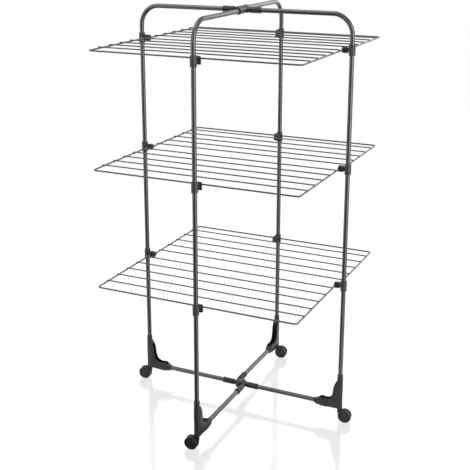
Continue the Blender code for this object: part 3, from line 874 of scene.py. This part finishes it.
class AIRER_OT_hinge_clips(bpy.types.Operator):
    """Build the hinge clips that carry the wings on the left and right uprights"""
    bl_idname = "airer.hinge_clips"
    bl_label = "Hinge Clips"

    def execute(self, context):
        dress_clips(hinge_clip(), FIRST_FRAME, "hinge_clip")
        return {"FINISHED"}


def hook_clip():
    """A sleeve and a round boss across it, dished at both ends, with a mouth from below."""
    drop, boss_r, boss_half, sleeve_drop = 0.004, 0.0115, 0.013, 0.008
    dish_r, dish_mouth_r, dish_floor, dish_end = 0.0078, 0.0088, 0.0085, 0.014
    outer_flare, inner_flare, least_dark = 0.0019, 0.0009, 0.6
    seat = sizes().wire / 2 + RUN_GAP
    across = place_at(HOOK_REACH, 0, -drop) @ around("Y")
    boss = moved(bar("boss", boss_r, -boss_half, boss_half, 0.0016, FINE_SIDES), across)
    low = -(drop + boss_r + CUT_OVERRUN)
    fall = low / (drop + boss_r)
    mouth = [(HOOK_REACH + seat - fall * outer_flare, low),
             *arc((HOOK_REACH, 0), seat, 0, math.pi, 16),
             (HOOK_REACH - seat + fall * inner_flare, low)]
    cuts = [clip_bore(-sleeve_drop)]
    for end in (1, -1):
        dish = [(0, end * dish_floor), (dish_r, end * dish_floor),
                (dish_mouth_r, end * dish_end), (0, end * dish_end)]
        cuts.append(moved(turned("dish", dish), across))
    cuts.append(plate("mouth", mouth, 0.032))
    clip = with_painted_recess_shade(cut_and_joined("hook_clip", clip_sleeve(-sleeve_drop), [boss], cuts))
    # The boss is moulded darker than the sleeve, so it takes at least the least dark share of the
    # attribute, beside any painted shade.
    for vertex, dark in zip(clip.vertices, clip.attributes["recess"].data):
        if vertex.co.xy.length > sizes().sleeve / 2 + 0.0004:
            dark.value = max(dark.value, least_dark)
    return clip


class AIRER_OT_hook_clips(bpy.types.Operator):
    """Build the hook clips that hold the wings' outer rungs on the front and back uprights"""
    bl_idname = "airer.hook_clips"
    bl_label = "Hook Clips"

    def execute(self, context):
        dress_clips(hook_clip(), SECOND_FRAME, "hook_clip")
        return {"FINISHED"}


def pivot_disc():
    """A disc about X with a nose toward -Y that takes the end of a side wire."""
    radius, width = sizes().disc / 2, sizes().disc_width
    thickness = width - 0.0013
    root, tip, chamfer = 0.00525, 0.0044, 0.0008
    join = math.asin(root / radius)
    end = -(radius + NOSE)
    outline = [*arc((0, 0), radius, -math.pi / 2 + join, 3 * math.pi / 2 - join, 44),
               (-tip, end + chamfer), (-tip + chamfer, end), (tip - chamfer, end),
               (tip, end + chamfer)]
    disc = moved(plate("disc", outline, thickness, 0.0009, 3), XZ_TO_YZ)
    bore = moved(bar("bore", STUB_R + RUN_GAP, -width, width), around("X"))
    socket = bar("socket", sizes().wire / 2 + SEAT_GAP,
                 STUB_R + RUN_GAP + SOCKET_WALL - SEAT_GAP, radius + NOSE + CUT_OVERRUN)
    cuts = [bore, moved(socket, around("Y", -1))]
    return with_painted_recess_shade(cut_and_joined("pivot_disc", disc, cuts=cuts))


class AIRER_OT_pivots(bpy.types.Operator):
    """Build the pivot discs at the roots of the wings' side wires"""
    bl_idname = "airer.pivots"
    bl_label = "Pivot Discs"

    def execute(self, context):
        disc = pivot_disc()
        ends = (("near", near_disc() - half_span()), ("far", half_span() - far_disc()))
        for name, place in each_wing():
            for end, along in ends:
                mesh = copy_at(disc, place @ place_at(along, 0, 0))
                dress(name + "_" + end + "_pivot", mesh, moulded_plastic("disc"), "disc")
        return {"FINISHED"}


def hub_half(name, offset, lap):
    """Half of a cross hub: a round plate under the bar's centre line and two barrels.

    Each barrel's block runs on past the pivot by the lap.
    """
    radius, plate_r, rim_r = sizes().barrel / 2, 0.020, 0.0113
    rim, edge = HUB_OUTER - 0.004, 0.0015
    top = -RUN_GAP / 2
    shell = turned("plate", eased([(0, -radius), (plate_r - edge, -radius),
                                   (plate_r, -radius + edge), (plate_r, top), (0, top)],
                                  0.0008), sides=72)
    profile = eased([(0, HUB_INNER), (radius, HUB_INNER), (radius, rim), (rim_r, rim),
                     (rim_r, HUB_OUTER), (0, HUB_OUTER)], 0.0005)
    lift = math.asin(-top / (radius - edge))
    block = arc((0, 0), radius - edge, math.pi + lift, 2 * math.pi - lift, 24)
    joins, cuts = [], []
    for turn in (0, math.pi):
        place = place_at(0, 0, 0, turn) @ place_at(0, offset, 0)
        half = moved(plate("block", block, HUB_INNER + edge + lap),
                     place_at((HUB_INNER + edge - lap) / 2, 0, 0, math.pi / 2))
        joins.append(moved(half, place))
        joins.append(moved(turned("barrel", profile, sides=56), place @ around("X")))
        bore = bar("bore", sizes().tube / 2 + SEAT_GAP, HUB_INNER + TUBE_STOP - SEAT_GAP,
                   HUB_OUTER + CUT_OVERRUN, sides=56)
        cuts.append(moved(bore, place @ around("X")))
    cuts.append(bar("pin_bore", RIVET_R + RUN_GAP, -radius - CUT_OVERRUN, CUT_OVERRUN))
    return with_painted_recess_shade(cut_and_joined(name, shell, joins, cuts))


class AIRER_OT_hubs(bpy.types.Operator):
    """Build the two cross hubs, each a base and a swivel on top of it"""
    bl_idname = "airer.hubs"
    bl_label = "Cross Hubs"

    def execute(self, context):
        base = hub_half("hub_base", 0, 0)
        swivel = hub_half("hub_swivel", -swing_offset(), 0.009)
        swivel.transform(place_at(0, 0, 0, -math.pi / 2) @ Matrix.Rotation(math.pi, 4, "X"))
        for end, height in (("top", top_bar_height()), ("bottom", bottom_bar_height())):
            for kind, half in (("base", base), ("swivel", swivel)):
                mesh = copy_at(half, place_at(0, 0, height))
                dress(end + "_hub_" + kind, mesh, moulded_plastic("hub"))
        return {"FINISHED"}


def bracket_moulding():
    """Corner moulding: post sleeve up Z, arm along +X, and a gusset with an open channel."""
    top, arm = sizes().bracket_top, sizes().bracket_arm
    bore = sizes().tube / 2 + SEAT_GAP
    sleeve_r = bore + 0.0017
    edge, foot, swell, belly_depth = SLEEVE_EDGE, -0.012, 0.0009, 0.0030
    thick, wall, floor, stem_depth = 0.0222, 0.002, sleeve_r + 0.0014, 0.0223
    side = smooth_run([(sleeve_r + swell * w, foot + edge + (top - foot) * u)
                       for u, w in SWELL_SHARES], 6)
    profile = [(0, foot), (side[0][0] - edge, foot), *side, (sleeve_r, top - edge),
               (sleeve_r - edge, top), (0, top)]
    post = turned("post_sleeve", eased(profile, 0.0008), FINE_SIDES)
    arm_sleeve = moved(bar("arm_sleeve", sleeve_r, 0, arm, edge, FINE_SIDES), around("X"))
    inner = [(sleeve_r + u * (arm - sleeve_r), sleeve_r + v * (top - sleeve_r))
             for u, v in smooth_run(GUSSET_INNER_SHARES, 7)]
    belly = [(u * arm, -(sleeve_r + w * belly_depth)) for u, w in smooth_run(BELLY_SHARES, 7)]
    web = plate("gusset", [(0, inner[-1][1]), *belly, *inner], thick, 0.0006)
    rim = inner[7:-7]
    past_rim = [(x + CUT_OVERRUN, z + CUT_OVERRUN) for x, z in rim]
    channel = plate("channel", [(floor, rim[-1][1]), (floor, floor), (rim[0][0], floor), rim[0],
                                *past_rim, rim[-1]], thick - 2 * wall)
    web = cut_and_joined("web", web, cuts=[channel])
    post_bore = bar("post_bore", bore, POST_STOP - SEAT_GAP, top + CUT_OVERRUN, sides=FINE_SIDES)
    arm_bore = bar("arm_bore", bore, ARM_STOP - SEAT_GAP, arm + CUT_OVERRUN, sides=FINE_SIDES)
    stem_bore = bar("stem_bore", STEM_R + RUN_GAP, foot - CUT_OVERRUN, foot + stem_depth)
    return cut_and_joined("corner_bracket", post, [arm_sleeve, web],
                          [post_bore, moved(arm_bore, around("X")), stem_bore])


class AIRER_OT_brackets(bpy.types.Operator):
    """Build the moulded corner brackets at the feet of the uprights"""
    bl_idname = "airer.brackets"
    bl_label = "Corner Brackets"

    def execute(self, context):
        bracket = with_painted_recess_shade(bracket_moulding())
        lift = place_at(0, 0, bottom_bar_height())
        for side in SIDES:
            mesh = copy_at(bracket, lift @ post_matrix(side))
            dress(side + "_corner_bracket", mesh, moulded_plastic("bracket"))
        return {"FINISHED"}


def caster_fork():
    """Fork plate between the wheels with a hood and a round pad under the stem."""
    trail, axle_z = caster_trail(), sizes().wheel / 2
    hood_r, nose_r, neck_back, neck_front = 0.0255, 0.0105, -0.0068, 0.0095
    pad_top, pad_t, pin_half = sizes().wheel + PAD_RISE, 0.0025, 0.009
    fork_t, neck_t = 0.009, 0.0088
    hood = arc((trail, axle_z), hood_r, math.radians(75), math.radians(200), 30)
    nose = arc((trail, axle_z), nose_r, math.radians(270), math.radians(390), 18)
    outline = eased([*hood, *nose], 0.003, closed=True, least=math.radians(30))
    body = plate("fork", outline, fork_t, 0.0006)
    neck_top = pad_top - pad_t / 2
    neck = plate("neck", [(neck_back, neck_top - 0.014), (0, axle_z), (neck_front, axle_z),
                          (neck_front, neck_top), (neck_back, neck_top)], neck_t)
    pad = bar("pad", 0.009, pad_top - pad_t, pad_top, 0.0005, sides=56)
    tail = bar("tail", TAIL_R + RUN_GAP, pad_top - 0.0123, pad_top + CUT_OVERRUN)
    pin = moved(bar("pin", 0.0028, -pin_half, pin_half), around("Y"))
    moved(pin, place_at(trail, 0, axle_z))
    return cut_and_joined("caster_fork", body, [neck, pad], [tail, pin])


def twin_wheels():
    """Two dished wheels on one axle, about the Y axis."""
    radius, inside, axle_r, axle_half = sizes().wheel / 2, 0.0048, 0.0025, 0.008
    outside = inside + sizes().wheel_width
    # From the inner face over the tread and rim, down the dish and over the raised hub
    profile = [(0, inside), (radius - 0.0003, inside), (radius, inside + 0.0006),
               (radius, outside - 0.0022), (radius - 0.0022, outside), (radius - 0.0048, outside),
               (radius - 0.0060, outside - 0.0032), (0.0125, outside - 0.0030),
               (0.0108, outside - 0.0004), (0.0085, outside), (0.0052, outside),
               (0.0044, outside - 0.0022), (0, outside - 0.0020)]
    wheels = [moved(turned("wheel", eased(profile, 0.0006), sides=72), around("Y", sign))
              for sign in (1, -1)]
    axle = moved(bar("axle", axle_r, -axle_half, axle_half), around("Y"))
    return cut_and_joined("twin_wheels", axle, wheels)


class AIRER_OT_casters(bpy.types.Operator):
    """Build the four casters: fork with hood, and twin wheels"""
    bl_idname = "airer.casters"
    bl_label = "Casters"

    def execute(self, context):
        fork, wheels = with_painted_recess_shade(caster_fork()), with_painted_recess_shade(twin_wheels(), 0.012)
        wheels.transform(place_at(caster_trail(), 0, sizes().wheel / 2))
        for side in SIDES:
            for kind, mesh, finish in (("housing", fork, moulded_plastic("caster")),
                                       ("wheels", wheels, moulded_plastic("wheel"))):
                made = copy_at(mesh, caster_matrix(side))
                dress(side + "_caster_" + kind, made, finish)
        return {"FINISHED"}


class AIRER_OT_pins(bpy.types.Operator):
    """Build the plated pins: the hub rivets and the caster stems"""
    bl_idname = "airer.pins"
    bl_label = "Rivets and Stems"

    def execute(self, context):
        grip = sizes().barrel / 2 + SEAT_GAP
        head_r, crown = 0.006, grip + 0.0022
        half = [(RIVET_R, grip), (head_r, grip), (head_r, grip + 0.0006),
                (0.0053, grip + 0.0014), (0.004, grip + 0.0020), (0.0022, crown), (0, crown)]
        profile = [(r, -z) for r, z in reversed(half)] + half
        rivet = turned("rivet", profile, sides=40)
        for end, height in (("top", top_bar_height()), ("bottom", bottom_bar_height())):
            mesh = copy_at(rivet, place_at(0, 0, height))
            dress(end + "_hub_rivet", mesh, pin_steel(), "turned")
        low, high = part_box("left_caster_stem")
        seat = sizes().wheel + PAD_RISE + RUN_GAP
        stem = turned("stem", eased([(0, low.z), (TAIL_R, low.z), (TAIL_R, seat), (STEM_R, seat),
                                     (STEM_R, high.z), (0, high.z)], 0.0008), sides=40)
        for side in SIDES:
            mesh = copy_at(stem, caster_matrix(side))
            dress(side + "_caster_stem", mesh, pin_steel(), "turned")
        return {"FINISHED"}


# Each lamp's place, width and height
LAMPS = {
    "left_light": ((-2.3, -2.2, 1.3), 0.5, 2.6),
    "right_light": ((2.35, -0.85, 1.3), 0.6, 2.6),
    "top_light": ((-0.8, -0.4, 3.3), 1.8, 1.8),
    "back_light": ((1.1, 3.2, 1.8), 1.9, 2.2),
}
LAMP_AIM = (0, 0, 0.75)
# The photograph's view: place, angle down from level, turn from +Y, and shift of the lens
CAMERA_PLACE = (1.3622, -2.9847, 1.7703)
CAMERA_DIP = 0.2847
CAMERA_TURN = 0.4422
LENS_SHIFT = (0.0137, -0.0851)
WHITE = (1.0, 1.0, 1.0, 1.0)


def soft_light(name, place, width, height, strength):
    """A rectangular lamp aimed at the airer; its strength is per square metre."""
    lamp = bpy.data.lights.new(name, "AREA")
    lamp.shape = "RECTANGLE"
    lamp.size = width
    lamp.size_y = height
    lamp.energy = strength * width * height
    thing = linked(name, lamp)
    thing.location = place
    thing.rotation_euler = (Vector(LAMP_AIM) - Vector(place)).to_track_quat("-Z", "Y").to_euler()
    thing.visible_camera = False


def floor_material():
    """White for the camera where the lamps reach it, darker in the shadow, with a faint mirror."""
    made = Finish(bpy.data.materials.new("studio_floor"))
    place = made.place()
    ahead = made.node("VectorMath", {0: place}, {"operation": "NORMALIZE"})
    facing = made.node("VectorMath", {0: ahead, 1: studio().dark_side},
                       {"operation": "DOT_PRODUCT"}, "Value")
    dark = made.ramp(facing, 0.82, 0.93) * studio().dark_share
    mirrored = made.light_path("Is Glossy Ray")
    glossy = mirrored * (1 - dark)
    seen = made.light_path("Is Camera Ray").over(made.light_path("Is Transmission Ray"))
    grain = made.noise(place, 40.0, detail=2.0)
    lit = made.node("BsdfDiffuse", {"Color": (0.15, 0.15, 0.15, 1.0)})
    glow = made.node("Emission", {"Color": WHITE, "Strength": studio().floor_glow})
    both = made.node("AddShader", {0: lit, 1: glow})
    shown = made.node("MixShader", {0: seen.over(glossy), 1: lit, 2: both})
    mirror = made.node("BsdfGlossy", {"Color": WHITE, "Roughness": 0.10 + grain * 0.04})
    return made.ended(made.node("MixShader", {
        0: (1 - mirrored * dark) * studio().floor_gloss, 1: shown, 2: mirror}))


def white_world():
    """Plain white wherever it is seen or mirrored, and dimmer as the light from all round."""
    made = Finish(bpy.data.worlds.new("white_studio"), "OutputWorld")
    seen = made.light_path("Is Camera Ray").over(made.light_path("Is Glossy Ray"))
    seen = seen.over(made.light_path("Is Transmission Ray"))
    strength = seen * (1 - studio().room) + studio().room
    return made.ended(made.node("Background", {"Color": WHITE, "Strength": strength}))


class AIRER_OT_stage(bpy.types.Operator):
    """Set the floor, the white backdrop, the soft lamps and the camera"""
    bl_idname = "airer.stage"
    bl_label = "Stage"

    def execute(self, context):
        bm = bmesh.new()
        bmesh.ops.create_grid(bm, x_segments=12, y_segments=12, size=14)
        floor = linked("studio_floor", smooth_mesh("studio_floor", bm))
        floor.data.materials.append(floor_material())
        bpy.context.scene.world = white_world()
        for name, (place, width, height) in LAMPS.items():
            soft_light(name, place, width, height, getattr(studio(), name))
        camera = linked("camera", bpy.data.cameras.new("camera"))
        camera.location = CAMERA_PLACE
        camera.rotation_euler = (math.pi / 2 - CAMERA_DIP, 0, CAMERA_TURN)
        camera.data.lens = studio().lens
        camera.data.sensor_width = 36
        camera.data.shift_x, camera.data.shift_y = LENS_SHIFT
        bpy.context.scene.camera = camera
        bpy.context.scene.view_settings.view_transform = "Standard"
        return {"FINISHED"}


class AIRER_PT_panel(bpy.types.Panel):
    """The airer's pieces and its stage"""
    bl_idname = "AIRER_PT_panel"
    bl_label = "Tower Clothes Airer"
    bl_space_type = "VIEW_3D"
    bl_region_type = "UI"
    bl_category = "Airer"

    def draw(self, context):
        for operator in OPERATORS:
            self.layout.operator(operator.bl_idname)
        for group in (sizes(), finishes(), studio()):
            box = self.layout.box()
            for name in group.__annotations__:
                box.prop(group, name)


OPERATORS = (AIRER_OT_tubes, AIRER_OT_hubs, AIRER_OT_brackets, AIRER_OT_hinge_clips,
             AIRER_OT_hook_clips, AIRER_OT_wings, AIRER_OT_pivots, AIRER_OT_casters,
             AIRER_OT_pins, AIRER_OT_stage)
GROUPS = {"airer_sizes": AirerSizes, "airer_finishes": AirerFinishes,
          "airer_studio": AirerStudio}
CLASSES = (*GROUPS.values(), *OPERATORS, AIRER_PT_panel)


def register():
    for thing in CLASSES:
        bpy.utils.register_class(thing)
    for name, group in GROUPS.items():
        setattr(bpy.types.Scene, name, bpy.props.PointerProperty(type=group))


def unregister():
    for name in GROUPS:
        delattr(bpy.types.Scene, name)
    for thing in reversed(CLASSES):
        bpy.utils.unregister_class(thing)


def main():
    register()
    bpy.ops.airer.tubes()
    bpy.ops.airer.hubs()
    bpy.ops.airer.brackets()
    bpy.ops.airer.hinge_clips()
    bpy.ops.airer.hook_clips()
    bpy.ops.airer.wings()
    bpy.ops.airer.pivots()
    bpy.ops.airer.casters()
    bpy.ops.airer.pins()
    bpy.ops.airer.stage()


if __name__ == "__main__":
    main()
